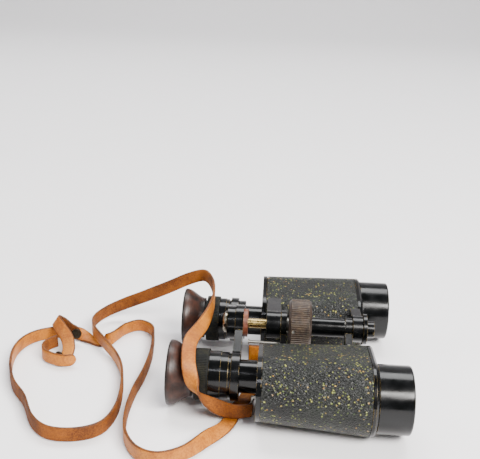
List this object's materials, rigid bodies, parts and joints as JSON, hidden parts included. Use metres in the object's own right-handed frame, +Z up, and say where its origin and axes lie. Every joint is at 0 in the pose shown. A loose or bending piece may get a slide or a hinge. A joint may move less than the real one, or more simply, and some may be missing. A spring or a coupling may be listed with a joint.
{
  "type": "prism binoculars",
  "caption": "Old centre-focus prism binoculars with leather-covered housings, folding hinge, focusing wheel and bridge, flared eyecups and a thin tan leather neck strap.",
  "frame": {"origin": "middle of the binoculars without the strap, on the surface they lie on", "axes": "+X along the barrels towards the objectives, +Y towards the left barrel, +Z up, hinge side up"},
  "size_m": [0.2238, 0.163, 0.0475],
  "materials": {
    "black_enamel": "glossy stoved black enamel on brass, worn to the metal on its edges",
    "pebbled_leather": "black pebble-grained covering, scuffed, with brass-coloured specks where the grain has worn",
    "optical_glass": "polished clear crown glass",
    "brown_bakelite": "dark brown moulded eyecup with a near-black rim, rubbed red-brown",
    "matt_knurled_ring": "matt black fine knurl with a worn brass edge",
    "blackened_brass": "matt black inside the tubes",
    "bare_steel": "bare turned steel, dull",
    "blackened_steel": "blackened steel stud heads",
    "worn_nickel": "nickel worn silvery",
    "worn_knurled_brass": "brown patinated brass with ribs",
    "bright_brass": "turned brass kept bright by sliding",
    "red_fibre": "red-brown vulcanised fibre washer",
    "tan_leather": "vegetable-tanned strap leather, smooth outside and darker suede inside"
  },
  "bodies": {
    "right_barrel": {"right_housing": "black_enamel", "right_leather": "pebbled_leather", "right_ocular_cover": "black_enamel", "right_objective_cover": "black_enamel", "right_cover_screws": "bare_steel", "right_prism_front": "optical_glass", "right_prism_rear": "optical_glass", "right_prism_clips": "bare_steel", "right_objective_tube": "black_enamel", "right_objective_cell": "blackened_brass", "right_objective_lens": "optical_glass", "right_objective_ring": "blackened_brass", "right_guide_tube": "black_enamel", "right_ocular_lug": "black_enamel", "right_objective_lug": "black_enamel", "right_lug_screw": "bare_steel", "hinge_axle": "bare_steel", "axle_tube": "black_enamel", "hinge_washer": "black_enamel", "hinge_end_cap": "black_enamel", "strap_lug": "bare_steel", "strap_eye": "bare_steel", "strap": "tan_leather", "strap_tab": "tan_leather", "strap_studs": "blackened_steel"},
    "left_barrel": {"left_housing": "black_enamel", "left_leather": "pebbled_leather", "left_ocular_cover": "black_enamel", "left_objective_cover": "black_enamel", "left_cover_screws": "bare_steel", "left_prism_front": "optical_glass", "left_prism_rear": "optical_glass", "left_prism_clips": "bare_steel", "left_objective_tube": "black_enamel", "left_objective_cell": "blackened_brass", "left_objective_lens": "optical_glass", "left_objective_ring": "blackened_brass", "left_guide_tube": "black_enamel", "left_ocular_lug": "black_enamel", "left_objective_lug": "black_enamel"},
    "focus_wheel": {"focus_wheel": "worn_knurled_brass", "wheel_screw": "bare_steel"},
    "focus_bridge": {"focus_spindle": "bright_brass", "copper_washer": "red_fibre", "bridge_nut": "worn_nickel", "right_bridge_arm": "black_enamel", "right_ocular_barrel": "black_enamel"},
    "left_eyepiece": {"left_bridge_arm": "black_enamel", "left_ocular_barrel": "black_enamel", "left_eye_ring": "matt_knurled_ring", "left_eyecup": "brown_bakelite", "left_lens_cell": "blackened_brass", "left_eye_lens": "optical_glass", "left_field_lens": "optical_glass"},
    "diopter_ring": {"right_diopter_ring": "matt_knurled_ring"},
    "right_eye_cell": {"right_eyecup": "brown_bakelite", "right_lens_cell": "blackened_brass", "right_eye_lens": "optical_glass", "right_field_lens": "optical_glass"}
  },
  "joints": [
    {"name": "fold", "type": "hinge", "parent": "right_barrel", "child": "left_barrel", "pos_m": [0, 0, 0.032], "axis": [-1, 0, 0], "range_deg": [-2, 30]},
    {"name": "left_eyepiece_fold", "type": "hinge", "parent": "focus_bridge", "child": "left_eyepiece", "pos_m": [0, 0, 0.032], "axis": [-1, 0, 0], "range_deg": [-2, 30]},
    {"name": "wheel_turn", "type": "hinge", "parent": "right_barrel", "child": "focus_wheel", "pos_m": [0, 0, 0.032], "axis": [1, 0, 0], "range_deg": [-180, 15]},
    {"name": "focus_slide", "type": "slide", "parent": "right_barrel", "child": "focus_bridge", "axis": [1, 0, 0], "range_m": [-0.0059, 0.00049]},
    {"name": "diopter_turn", "type": "hinge", "parent": "focus_bridge", "child": "diopter_ring", "pos_m": [0, -0.0334, 0.017], "axis": [1, 0, 0], "range_deg": [-60, 60]},
    {"name": "diopter_slide", "type": "slide", "parent": "focus_bridge", "child": "right_eye_cell", "axis": [1, 0, 0], "range_m": [-0.00079, 0.00079]}
  ],
  "couplings": [
    {"joint": "left_eyepiece_fold", "follows": "fold", "ratio": 1},
    {"joint": "wheel_turn", "follows": "focus_slide", "rad_per_m": 526.32},
    {"joint": "diopter_turn", "follows": "diopter_slide", "rad_per_m": 1315.8}
  ]
}
